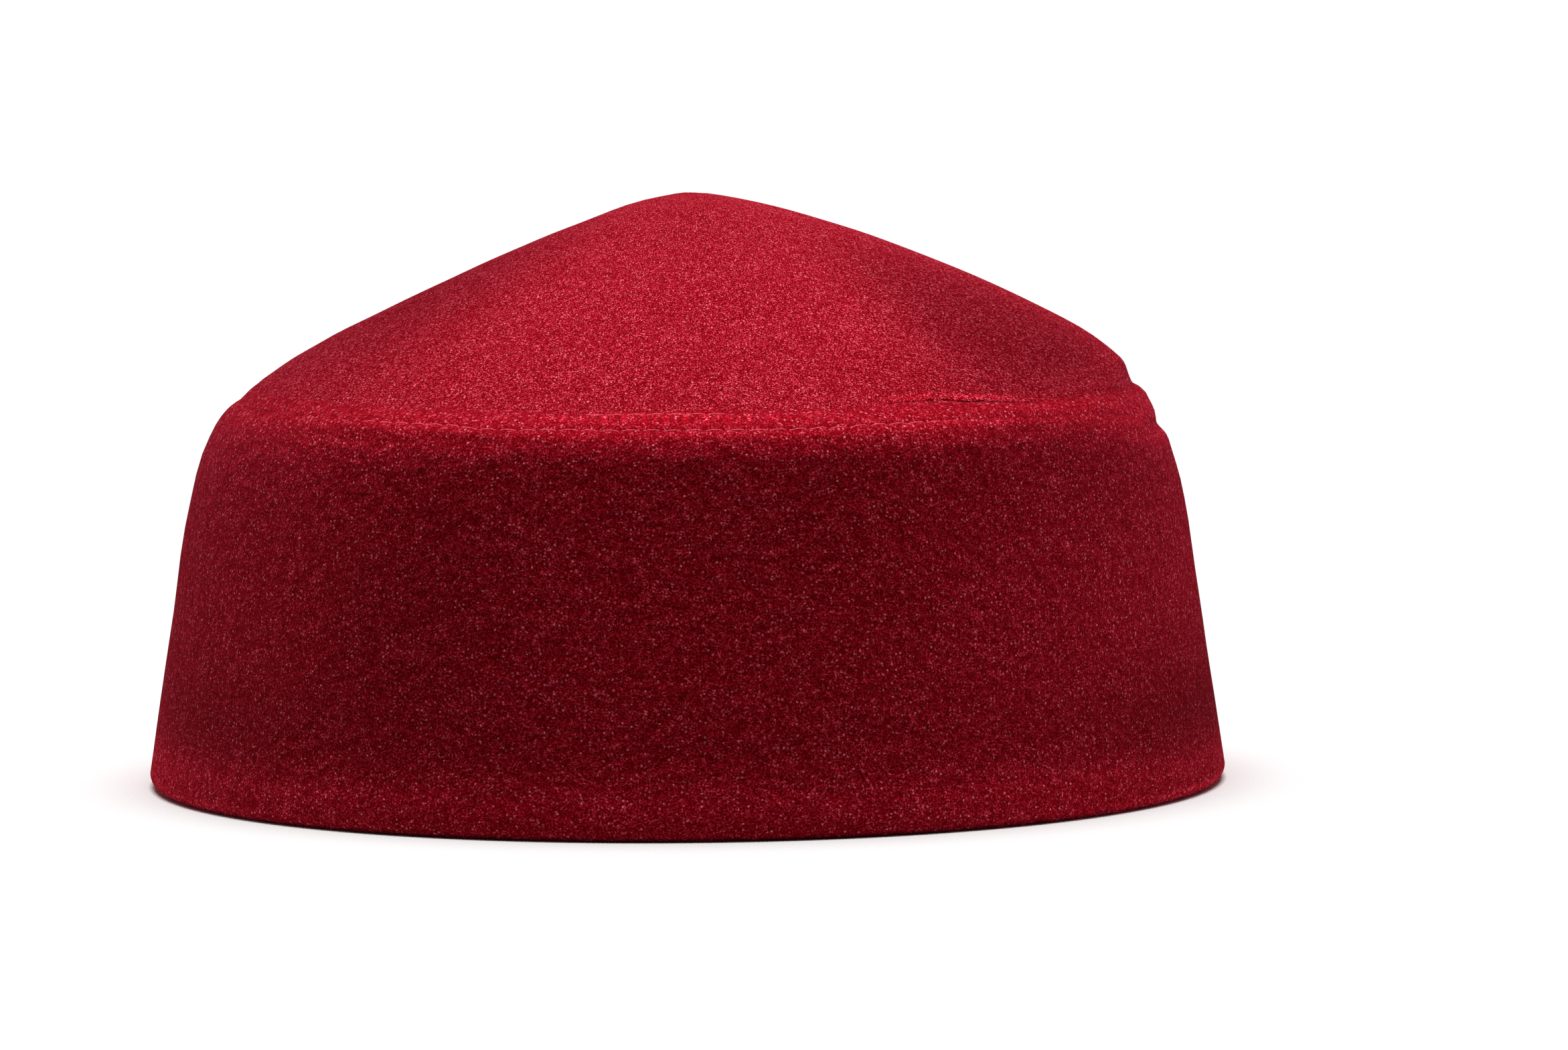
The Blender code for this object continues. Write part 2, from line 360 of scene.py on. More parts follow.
def relief(run, distance, turn):
    """How far the felt stands above the form: waves, folds, stitch grooves and puckers.

    Over the strip it is a half sine wave from the seam to the row, and its square for the ribs.
    """
    past_seam = distance - around(SEAM, turn)
    past_row = distance - around(ROW, turn)
    above_hem = around(HEM_DISTANCE, turn) - distance
    arch = np.sin(np.pi * across_strip(distance, turn))
    open_row = 1 - along_table(turn, LOWER_SINK) / DEEPEST_SINK
    groove = ROW_GROOVE * (BETWEEN_HOLES + (1 - BETWEEN_HOLES) * needle_holes(turn)) * open_row
    upper_groove = UPPER_GROOVE * groove * bell(turned_from(turn, CLEAREST), GROOVE_SPAN)
    total = felt_waves(distance, turn) * smooth_step(above_hem / HEM_FADE)
    total += patches(FOLDS, run, turn)
    total += (STRIP_PUFF + around(LIFT, turn)) * arch
    total -= groove * bell(past_row, ROW_REACH)
    total -= upper_groove * bell(past_seam - UPPER_ROW, ROW_REACH)
    total += LADDER_DEPTH * arch**2 * ladder(turn)
    return total


# %% [markdown]
# The felt's colour is made lighter and darker in places by painted light and shade. The photograph shows the
# cone darker to the right and left of its middle, and there the colour carries painted shade. More painted
# shade lies near the point, low on the left side and by the hem. Painted light lies along the shoulder, on
# the strip, on the wall and on the hem, with painted highlights on the ribs and on the crease's lip, and
# painted shade in the gap under it. Each point of the felt carries this as a number, which the material
# reads.

# %% Painted light and shade on the felt
PAINTED_LIGHT_AND_SHADE = (  # every row is painted light or shade: depth is how much lighter the painted light makes the felt, and below 0 how much darker the painted shade makes it
    Fold("cone_right_painted_shade", 60.0, 40.0, -18.0, 56.0, -0.44),
    Fold("cone_middle_right_painted_shade", 42.0, 16.0, -20.0, 50.0, -0.12),
    Fold("cone_left_painted_shade", -75.0, 50.0, -30.0, 60.0, -0.40),
    Fold("point_painted_shade", 0.0, 180.0, -84.0, 66.0, -0.15),
    Fold("wall_left_painted_shade", -30.0, 22.0, 40.0, 46.0, -0.12),
    Fold("shoulder_painted_light", 0.0, 180.0, 5.5, 6.0, 0.15),
    Fold("strip_right_painted_light", 46.0, 30.0, 2.5, 4.5, 0.24),
    Fold("strip_far_right_painted_light", 72.0, 32.0, 8.0, 8.0, 0.38),
    Fold("seam_right_painted_highlight", 68.0, 26.0, -0.6, 1.6, 0.10),
    Fold("wall_painted_light", 20.0, 130.0, 44.0, 46.0, 0.20),
    Fold("hem_right_painted_shade", 72.0, 50.0, 72.0, 40.0, -0.6),
    Fold("hem_left_painted_shade", -60.0, 36.0, 70.0, 34.0, -0.28),
)
# painted highlight on the ladder's ribs, and painted shade between them
RIBS_PAINTED_HIGHLIGHT, RIBS_PAINTED_SHADE = 1.1, 0.25
# painted light on the hem and its fold, where light from the floor would fall: how much, from how many mm of
# run above the hem, and over how much run it fades in
HEM_PAINTED_LIGHT, HEM_PAINTED_LIGHT_FROM, HEM_PAINTED_LIGHT_FADE = 0.75, 11.4, 9.0
LIP_PAINTED_HIGHLIGHT, LIP_PAINTED_SHADE = 2.4, 1.5  # for each mm that the crown's edge stands up: the painted highlight on its top, and the painted shade in the gap under it
LIP_TOP, LIP_REACH = 1.3, 1.4  # mm of felt above the seam, and each way from there
GAP_AT, GAP_REACH = 0.12, 0.25  # and below it


def painted_lightness(run, distance, turn):
    """0 for the felt's own colour, above 0 where painted light makes it lighter, below 0 where painted shade
    makes it darker.

    The sum of the soft patches of painted light and shade, the painted highlights on the ladder's ribs with
    painted shade between them, the painted highlight on the lip of the crease, the painted shade in the gap
    under it, and the painted light on the hem.
    """
    past_seam = distance - around(SEAM, turn)
    lip = LIP_PAINTED_HIGHLIGHT * bell(past_seam + LIP_TOP, LIP_REACH) - LIP_PAINTED_SHADE * bell(past_seam - GAP_AT, GAP_REACH)
    ribs = np.sin(np.pi * across_strip(distance, turn)) ** 2 * ladder(turn, RIBS_PAINTED_SHADE)
    total = RIBS_PAINTED_HIGHLIGHT * ribs
    total += patches(PAINTED_LIGHT_AND_SHADE, run, turn)
    total += around(LIFT, turn) * lip
    return total + HEM_PAINTED_LIGHT * smooth_step((run - HEM_RUN + HEM_PAINTED_LIGHT_FROM) / HEM_PAINTED_LIGHT_FADE)


# %% Points on the felt
def felt_at(distance, depth, turn, lift=0.0):
    """(x, y, z, lightness) of points depth below the felt's surface, at each distance and turn."""
    distance, turn = np.broadcast_arrays(np.asarray(distance, float), turn)
    run = run_at(distance, turn)
    height = relief(run, distance, turn) + lift - depth
    points = form_points(run, turn) + form_normals(run, turn) * height[..., None]
    return np.concatenate((points, painted_lightness(run, distance, turn)[..., None]), axis=-1)


# %% [markdown]
# ## From rings to a closed skin
#
# Each felt piece is a list of rings: down the outside, round the edge and back up the inside. Two
# neighbouring rings are joined by four-sided faces. Where the felt is plain, a ring can have half
# the points of the one before, and three triangles for each pair of points make the change. That
# keeps 0.4 mm detail along the seam without a heavy mesh below it.

# %% Faces between two rings
NO_QUADS = np.empty((0, 4), int)
NO_TRIANGLES = np.empty((0, 3), int)


def faces_between(first, second):
    """Corner numbers of the faces from ring `first` to ring `second`: (quads, triangles)."""
    a, b = first[:, None], second[:, None]
    a1, b1 = np.roll(a, -1, axis=0), np.roll(b, -1, axis=0)
    if len(a) == len(b):
        return np.hstack((a, b, b1, a1)), NO_TRIANGLES
    if len(a) == 1:
        return NO_QUADS, np.hstack((0 * b + a, b, b1))
    if len(b) == 1:
        return NO_QUADS, np.hstack((a, 0 * a + b, a1))
    if len(b) == 2 * len(a):
        left, middle, right = b[::2], b[1::2], b1[1::2]
        fans = ((a, left, middle), (a, middle, a1), (a1, middle, right))
    else:
        left, middle, right = a[::2], a[1::2], a1[1::2]
        fans = ((left, b, middle), (middle, b, b1), (middle, b1, right))
    return NO_QUADS, np.vstack([np.hstack(fan) for fan in fans])


def mesh_piece(name, points, quads, triangles):
    """A smooth mesh in metres, from points in millimetres and arrays of corner numbers.

    A fourth number of each point, the painted light and shade, is kept as the attribute lightness.
    """
    mesh = bpy.data.meshes.new(name)
    mesh.vertices.add(len(points))
    mesh.vertices.foreach_set("co", (points[:, :3] * MM).astype(np.float32).ravel())
    corners = np.concatenate((quads.ravel(), triangles.ravel()))
    sides = np.concatenate((np.full(len(quads), 4), np.full(len(triangles), 3)))
    mesh.loops.add(len(corners))
    mesh.loops.foreach_set("vertex_index", corners)
    mesh.polygons.add(len(sides))
    mesh.polygons.foreach_set("loop_start", np.concatenate(([0], np.cumsum(sides)[:-1])))
    mesh.update(calc_edges=True)
    mesh.shade_smooth()
    if points.shape[1] == 4:
        lightness = mesh.attributes.new("lightness", "FLOAT", "POINT")
        lightness.data.foreach_set("value", points[:, 3].astype(np.float32))
    piece = bpy.data.objects.new(name, mesh)
    bpy.context.scene.collection.objects.link(piece)
    print(f"{name}: {2 * len(quads) + len(triangles)} triangles")
    return piece


def skin(name, rings, closed):
    """One surface through the rings. If closed, the last ring joins the first."""
    starts = np.concatenate(([0], np.cumsum([len(ring) for ring in rings])))
    numbers = [np.arange(start, stop) for start, stop in zip(starts[:-1], starts[1:])]
    nexts = numbers[1:] + numbers[:1] if closed else numbers[1:]
    quads, triangles = zip(*[faces_between(first, second) for first, second in zip(numbers, nexts)])
    return mesh_piece(name, np.vstack(rings), np.vstack(quads), np.vstack(triangles))


# %% [markdown]
# ## The crown
#
# The crown is one disc of felt, blocked to a low cone. Its top side runs smooth to the join and
# then dives in under the band, pressed thin, as a seam allowance does. It could be a cone with a
# subdivision surface, but the open crease needs its lip just where the seam is, so its rings crowd
# together there. The inside is the same cone, one felt thickness lower.

# %% Seam sizes, and the felt's thickness near the seam
SEAM_FELT = 1.3  # the felt is pressed thinner where it laps
SEAM_EDGE = 0.3  # and thinner still at its cut edge
SEAM_GAP = 0.2  # between crown and band, inside the lap
SEAM_CLOSED = 0.05  # the gap at the cut edge, where the stitches pull it shut
SEAM_LAP = 6.5  # how far the crown runs on under the band
EDGE_ROUND = 0.4  # how far a cut edge stands out at half its thickness
DIVE_FROM, DIVE_TO = -0.12, 0.45  # the crown turns down into the seam over these few tenths
LIP_LENGTH, LIP_FLAT = 3.6, 0.3  # over this the crown rises to its lifted edge, and how near it is level
PRESS_LENGTH = 4.0  # over this the felt comes to its pressed thickness


def band_thickness(past_seam):
    """Thin at the cut edge, pressed over the lap, then the full felt."""
    pressed = SEAM_EDGE + (SEAM_FELT - SEAM_EDGE) * smooth_step(past_seam / PRESS_LENGTH)
    return pressed + (FELT - SEAM_FELT) * smooth_step((past_seam - SEAM_LAP - 1) / PRESS_LENGTH)


def crown_thickness(past_seam):
    """The full felt on the cone, pressed thinner over the last few millimetres."""
    return FELT + (SEAM_FELT - FELT) * smooth_step(1 + past_seam / PRESS_LENGTH)


def crown_dive(past_seam):
    """0 on the cone, then down to 1 within the seam."""
    return smooth_step((past_seam - DIVE_FROM) / (DIVE_TO - DIVE_FROM))


def crown_depth(past_seam):
    """0 on the cone, then down through the seam to a gap under the band."""
    gap = SEAM_CLOSED + (SEAM_GAP - SEAM_CLOSED) * smooth_step(past_seam / PRESS_LENGTH)
    return crown_dive(past_seam) * (gap + band_thickness(np.clip(past_seam, 0, SEAM_LAP)))


# %% Rings of the crown
SEAM_STEPS = (-8.0, -6.6, -5.4, -4.4, -3.6, -2.9, -2.3, -1.8, -1.4, -1.1, -0.85, -0.65, -0.5, -0.38,
              -0.28, -0.2, -0.12, -0.05, 0.02, 0.1, 0.2, 0.3, 0.45)
CROWN_LAP = ((0.8, 2), (2.5, 4), (4.5, 4), (SEAM_LAP, 4))  # distance past the seam, spacing
CROWN_INSIDE = (SEAM_LAP, 4.5, 2.5, 0.6, -0.6, -3.0, -6.0)
CONE_SHARES = np.concatenate(((0.015, 0.035, 0.065, 0.1), np.linspace(0.14, 0.88, 23)))
CONE_EVERYS = [64, 32, 32, 16] + [8] * 6 + [4] * 9 + [2] * 8  # a ring takes every 64th column, and so on


def cone_rings(depth, shares, everys):
    """Rings on the cone at shares of the way from the point down, each with its own spacing."""
    return [felt_at(-POINT_DISTANCE[::every] * (1 - share), depth, TURNS[::every])
            for share, every in zip(shares, everys)]


def crown_ring(past_seam, thickness_share, every):
    """A ring near the seam. thickness_share is 0 on the outside of the felt and 1 on the inside."""
    fade = smooth_step((past_seam + 10) / 6)  # far from the seam a ring keeps to the join
    depth = crown_depth(past_seam) + thickness_share * crown_thickness(past_seam)
    rise = smooth_step((past_seam + LIP_FLAT + LIP_LENGTH) / LIP_LENGTH) * (1 - crown_dive(past_seam))
    return felt_at(past_seam + SEAM[::every] * fade, depth, TURNS[::every], LIFT[::every] * rise)


def crown_rings():
    """Over the top from the point into the seam, round the edge, and back to under the point."""
    point = np.array([[RINGS[0].shift, 0.0, RINGS[0].height, 0.0]])
    outside = cone_rings(0.0, CONE_SHARES, CONE_EVERYS)
    seam = [crown_ring(past, 0.0, 1) for past in SEAM_STEPS]
    lap = [crown_ring(past, 0.0, every) for past, every in CROWN_LAP]
    edge = [crown_ring(SEAM_LAP + EDGE_ROUND, 0.5, 4)]
    inside = [crown_ring(past, 1.0, 4) for past in CROWN_INSIDE]
    up = cone_rings(FELT, CONE_SHARES[::-3], (4, 4, 4, 4, 8, 8, 16, 32, 64))
    return [point, *outside, *seam, *lap, *edge, *inside, *up, point - (0, 0, FELT, 0)]


crown = skin("felt_crown", crown_rings(), closed=False)

# %% [markdown]
# ## The side band
#
# The band is one strip of felt, bent over at the shoulder, with its lower edge turned up inside. It
# is one closed section, so it is made as one skin: from the cut edge at the join, over the
# shoulder, down the side, round the fold, up to the turned edge and back.

# %% Sizes of the hem, and the band's places down the felt
HEM_FLAT = 1.2  # width of the flat ring that the cap stands on
HEM_TURN = 14.0  # height of the edge that is turned up
HEM_GAP = 0.4  # between the layers at the top of the turned edge
HEM_STEPS = 8  # flats in each quarter of the fold

EDGE_STEPS = ((-0.06, 0.17), (-0.05, 0.1), (-0.02, 0.05), (0.03, 0.015), (0.12, 0.0))  # distance, depth
STRIP_STEPS = (0.45, 0.65, 0.9, 1.15, 1.4, 1.65, 1.9, 2.2)
STRIP_SHARES = (0.2, 0.4, 0.6, 0.8)
ROW_STEPS = (-1.2, -0.9, -0.65, -0.45, -0.28, -0.14, 0.0, 0.14, 0.28, 0.45, 0.65, 0.9, 1.2, 1.6, 2.1, 2.7,
             3.5, 4.5, 6.0)
WALL_SHARES = (0.04, 0.09, 0.15, 0.22, 0.3, 0.38, 0.46, 0.54, 0.62, 0.7, 0.78, 0.86, 0.94, 1.0)
INSIDE_SHARES = (0.9, 0.75, 0.6, 0.45, 0.32, 0.2)  # of the way from the join to the hem
LAP_STEPS = ((9.0, 4), (6.5, 4), (4.5, 4), (2.5, 4), (1.0, 2))  # distance past the seam, spacing


# %% Rings of the band
def flat_ring(height, radius, every):
    """A level circle of points, with the hem's painted light."""
    turn = TURNS[::every]
    x, y = radius * np.sin(turn), -radius * np.cos(turn)
    return np.stack((x, y, 0 * turn + height, 0 * turn + HEM_PAINTED_LIGHT), axis=-1)


def hem_circles(radius):
    """(height, radius) round the fold: two quarter circles with the flat between them."""
    quarter = np.linspace(0, np.pi / 2, HEM_STEPS + 1)
    centre = RINGS[-1].half_width - HEM_FOLD
    outer = [(HEM_FOLD - radius * np.sin(t), centre + radius * np.cos(t)) for t in quarter]
    inner = [(HEM_FOLD - radius * np.cos(t), centre - HEM_FLAT - radius * np.sin(t)) for t in quarter]
    return outer + inner


def band_rings():
    """Down the outside, round the fold, up to the turned edge, down again and up the inside."""
    edge = [felt_at(SEAM + distance, depth, TURNS) for distance, depth in EDGE_STEPS]
    strip = [felt_at(SEAM + distance, 0.0, TURNS) for distance in STRIP_STEPS]
    first, last = SEAM + STRIP_STEPS[-1], ROW + ROW_STEPS[0]
    strip += [felt_at(first + (last - first) * share, 0.0, TURNS) for share in STRIP_SHARES]
    shoulder = [felt_at(ROW + step, 0.0, TURNS) for step in ROW_STEPS]
    start = ROW[::2] + ROW_STEPS[-1]
    wall = [felt_at(start + (HEM_DISTANCE[::2] - start) * share, 0.0, TURNS[::2]) for share in WALL_SHARES]
    fold = [flat_ring(height, radius, 2) for height, radius in hem_circles(HEM_FOLD)[1:]]
    inside = spline(np.array(HEM_RUN - HEM_TURN + HEM_FOLD))[1] - 2 * FELT - HEM_GAP
    turned = [flat_ring(HEM_TURN + EDGE_ROUND * up, inside + FELT * share, 4)
              for up, share in ((0, 0), (1, 0.5), (0, 1))]
    slot = [flat_ring(height, radius, 4) for height, radius in hem_circles(HEM_FOLD - FELT)[::-2]]
    up = [felt_at(HEM_DISTANCE[::4] * share, FELT, TURNS[::4]) for share in INSIDE_SHARES]
    lap = [felt_at(SEAM[::every] + past, band_thickness(past), TURNS[::every]) for past, every in LAP_STEPS]
    return edge + strip + shoulder + wall + fold + turned + slot + up + lap


band = skin("felt_band", band_rings(), closed=True)

# %% [markdown]
# ## The stitches
#
# The topstitching is a lockstitch: from above one sees short dashes of thread, each diving into the
# felt at both ends. A bevelled curve could make each dash, but a dash is only a tube of six sides
# that runs level and turns down steeply at its ends. So all of a row's dashes are worked out as one
# array: stitch by stitch, station by station along the thread, corner by corner round it. Where
# the photograph shows no thread, the nap has closed over it, and the row lies deeper.

# %% Sizes of the thread
THREAD_WIDE, THREAD_TALL = 0.14, 0.08  # half the width and height: the thread is pressed flat
DASH_SHARE = 0.92  # of the stitch length from one end of a dash to the other
THREAD_HIGH, THREAD_DEEP = 0.04, 0.16  # middle above the felt, ends below it
THREAD_DIVE = 14  # the higher the power, the flatter the dash and the steeper its ends
STITCH_START = -0.06  # of a stitch, from the front
STATIONS, CORNERS = 11, 6
TILT = (  # how much higher a dash's right end lies, in mm
    At(-180, 0), At(-50, -0.12), At(-22, -0.12), At(-14, 0), At(0, 0), At(8, 0.14), At(60, 0.14), At(90, 0),
    At(180, 0),
)


# %% Tubes of thread
def thread_tubes(row, sink, seed):
    """Points of a row's dashes: (stitch, station, corner, xyz).

    With t from -1/2 to 1/2 along a dash, its middle line stands HIGH - (HIGH + DEEP) (2t)^DIVE above
    the felt, so both ends dive in. The stations lie closer together there: t is half the sine of an
    even step. A corner is middle + wide cos c side + tall sin c up.
    """
    jitter = np.random.default_rng(seed)
    each = (STITCHES, 1)
    t = 0.5 * np.sin(np.linspace(-np.pi / 2, np.pi / 2, STATIONS))
    length = DASH_SHARE * jitter.uniform(0.9, 1.04, each)
    centre = np.arange(STITCHES)[:, None] + STITCH_START + jitter.normal(0, 0.015, each)
    turn = 2 * np.pi * (centre + length * t) / STITCHES
    slant = along_table(turn, TILT) + jitter.normal(0, 0.07, each)
    distance = around(row, turn) - slant * t + jitter.normal(0, 0.04, each)
    arc = (2 * t) ** THREAD_DIVE
    depth = along_table(turn, sink) + (THREAD_HIGH + THREAD_DEEP) * arc - THREAD_HIGH
    middle = felt_at(distance, depth, turn)[..., :3]
    forward = np.gradient(middle, axis=1)
    forward /= np.linalg.norm(forward, axis=-1, keepdims=True)
    side = np.cross(forward, form_normals(run_at(distance, turn), turn))
    side /= np.linalg.norm(side, axis=-1, keepdims=True)
    up = np.cross(side, forward)
    corner = (np.arange(CORNERS) * 2 * np.pi / CORNERS)[:, None]
    slim = (1 - 0.5 * arc)[:, None, None]
    around_middle = (THREAD_WIDE * np.cos(corner) * side[:, :, None]
                     + THREAD_TALL * np.sin(corner) * up[:, :, None])
    return middle[:, :, None] + slim * around_middle


def stitch_row(name, row, sink, seed):
    """A mesh of all dashes of a row, each tube closed by a point at both ends."""
    tubes = thread_tubes(row, sink, seed)
    ends = tubes[:, (0, -1)].mean(axis=2)
    points = np.concatenate((ends[:, :1], tubes.reshape(STITCHES, -1, 3), ends[:, 1:]), axis=1)
    rings = 1 + np.arange(STATIONS * CORNERS).reshape(STATIONS, CORNERS)
    walls = np.vstack([faces_between(rings[i], rings[i + 1])[0] for i in range(STATIONS - 1)])
    first = faces_between(np.array([0]), rings[0])[1]
    last = faces_between(rings[-1], np.array([1 + STATIONS * CORNERS]))[1]
    shift = points.shape[1] * np.arange(STITCHES)[:, None, None]
    quads = (walls + shift).reshape(-1, 4)
    triangles = (np.vstack((first, last)) + shift).reshape(-1, 3)
    piece = mesh_piece(name, points.reshape(-1, 3), quads, triangles)
    corner_place = ((walls[:, :1] - 1) % CORNERS + (0, 0, 1, 1)) / CORNERS
    station_place = (walls - 1) // CORNERS / (STATIONS - 1)
    wall_uv = np.stack((corner_place, station_place), axis=-1).reshape(-1)
    uv = np.concatenate((np.tile(wall_uv, STITCHES), np.full(2 * triangles.size, 0.5)))
    piece.data.uv_layers.new(name="along_thread").uv.foreach_set("vector", uv.astype(np.float32))
    return piece


lower_stitches = stitch_row("stitches_lower_row", ROW, LOWER_SINK, seed=3)
upper_stitches = stitch_row("stitches_upper_row", SEAM + UPPER_ROW, UPPER_SINK, seed=4)

# %% [markdown]
# ## The finish of the felt
#
# Pressed wool felt has no weave. Its colour comes from a dense mat of curled fibres: seen close,
# bright hairs lie on a deep red ground, with tufts and softer blotches where the nap lies flatter.
# Real hairs would need millions of faces, so the fibres are noise, and a ramp of four reds runs
# from the ground up to the tips. Hair ends that catch the light are painted glints: small pinkish
# dots painted into the colour, with a small bump, one in some of the cells of a Voronoi pattern,
# and only where there is a hair.

# %% Helpers for material nodes
def add_node(tree, kind, inputs, **settings):
    """A shader node with its settings made and its inputs set to a value or another node's output."""
    node = tree.nodes.new("ShaderNode" + kind)
    for name, value in settings.items():
        setattr(node, name, value)
    for key, value in inputs.items():
        if isinstance(value, bpy.types.NodeSocket):
            tree.links.new(value, node.inputs[key])
        else:
            node.inputs[key].default_value = value
    return node


def math(tree, operation, first, second=0.0):
    """One sum of one or two numbers."""
    return add_node(tree, "Math", {0: first, 1: second}, operation=operation).outputs[0]


def mixed(tree, share, first, second):
    """A colour between two colours."""
    inputs = {0: share, 6: first, 7: second}
    return add_node(tree, "Mix", inputs, data_type="RGBA").outputs[2]


def ramp(tree, value, low, high, to_low=0.0, to_high=1.0):
    """value from low..high turned into to_low..to_high, and no further."""
    inputs = {"Value": value, "From Min": low, "From Max": high, "To Min": to_low, "To Max": to_high}
    return add_node(tree, "MapRange", inputs).outputs[0]


def noise(tree, place, scale, detail):
    """Noise over the object, with scale in waves a metre."""
    inputs = {"Vector": place, "Scale": scale, "Detail": detail, "Distortion": 0.0}
    return add_node(tree, "TexNoise", inputs).outputs[0]


def times(tree, first, second):
    """One number times the other."""
    return math(tree, "MULTIPLY", first, second)


def added(tree, *terms):
    """All terms added up."""
    result = terms[0]
    for term in terms[1:]:
        result = math(tree, "ADD", result, term)
    return result


def new_material(name):
    """An empty node material: (material, tree, shader)."""
    material = bpy.data.materials.new(name)
    material.use_nodes = True
    tree = material.node_tree
    tree.nodes.clear()
    shader = add_node(tree, "BsdfPrincipled", {})
    output = add_node(tree, "OutputMaterial", {})
    tree.links.new(shader.outputs[0], output.inputs["Surface"])
    return material, tree, shader


# %% Where a point of the felt lies in the noise
BRUSH_RADIUS = 0.075  # metres: here the hairs are as long round the cap as down it
BRUSH_PULL = 0.35


def brushed_place(tree):
    """The object's own coordinates, with x and y times (BRUSH_RADIUS / radius) ** BRUSH_PULL.

    It draws the hairs out down the slope, as the nap of a felt cap is brushed.
    """
    place = add_node(tree, "TexCoord", {}).outputs["Object"]
    parts = add_node(tree, "SeparateXYZ", {0: place})
    flat = add_node(tree, "CombineXYZ", {0: parts.outputs[0], 1: parts.outputs[1]}).outputs[0]
    radius = add_node(tree, "VectorMath", {0: flat}, operation="LENGTH").outputs["Value"]
    share = math(tree, "DIVIDE", BRUSH_RADIUS, math(tree, "MAXIMUM", radius, 0.004))
    stretch = math(tree, "POWER", share, BRUSH_PULL)
    wide = add_node(tree, "VectorMath", {0: flat, "Scale": stretch}, operation="SCALE").outputs[0]
    high = add_node(tree, "CombineXYZ", {2: parts.outputs[2]}).outputs[0]
    return place, add_node(tree, "VectorMath", {0: wide, 1: high}, operation="ADD").outputs[0]


# %% Felt material
# A noise from low to high makes a hair. The last four say how much hairs, tufts, clumps and blotches
# add to the lightness.
Felt = namedtuple("Felt", "name fineness low high hair tuft clump blotch")
CROWN_FELT = Felt("crown_felt", 4000.0, 0.33, 0.74, 0.80, 0.28, 0.06, 0.06)
BAND_FELT = Felt("band_felt", 3700.0, 0.24, 0.80, 0.66, 0.40, 0.08, 0.04)
TUFTS, CLUMPS, BLOTCHES, GLINTS = 950.0, 280.0, 60.0, 1400.0  # waves or cells a metre
CLUMPS_FLAT = (1.0, 1.0, 1.15)  # the clumps are this much wider than high

Stop = namedtuple("Stop", "position colour")
REDS = (
    Stop(0.1, (0.145, 0.0002, 0.0016, 1)),  # ground in the shade of the hairs
    Stop(0.5, (0.28, 0.0028, 0.010, 1)),  # ground
    Stop(0.85, (0.53, 0.021, 0.044, 1)),  # hairs
    Stop(1.0, (0.68, 0.084, 0.126, 1)),  # hair tips
)
# the colour of the painted glints, on hair ends that catch the light
PAINTED_GLINT_PINK = (1.0, 0.24, 0.31, 1)

HAIR_HIGH, CLUMP_HIGH, GLINT_HIGH = 0.4, 6.8, 2.0  # in the bump, where a tuft is 1 high
FIBRE_HIGH = 0.00006  # metres


def red_of(tree, light):
    """The colour ramp REDS, read at the lightness."""
    node = add_node(tree, "ValToRGB", {0: light})
    stops = node.color_ramp.elements
    stops[0].position, stops[0].color = REDS[0]
    stops[1].position, stops[1].color = REDS[-1]
    for stop in REDS[1:-1]:
        stops.new(stop.position).color = stop.colour
    return node.outputs[0]


def dots(tree, place, scale, edge, middle):
    """Small dots, 0 outside and up to 1 in the middle, at the points of a Voronoi cell pattern.

    A colour that the pattern picks for each cell makes some dots faint, and leaves few at full
    strength.
    """
    cells = add_node(tree, "TexVoronoi", {"Vector": place, "Scale": scale})
    chance = add_node(tree, "SeparateColor", {0: cells.outputs["Color"]}).outputs[0]
    return times(tree, ramp(tree, cells.outputs["Distance"], edge, middle), ramp(tree, chance, 0.3, 0.9))


def cloth_finish(shader, specular, sheen, sheen_roughness, sheen_tint):
    """What is the same all over a piece stands on the shader's own sockets."""
    shader.inputs["Specular IOR Level"].default_value = specular
    shader.inputs["Sheen Weight"].default_value = sheen
    shader.inputs["Sheen Roughness"].default_value = sheen_roughness
    shader.inputs["Sheen Tint"].default_value = sheen_tint


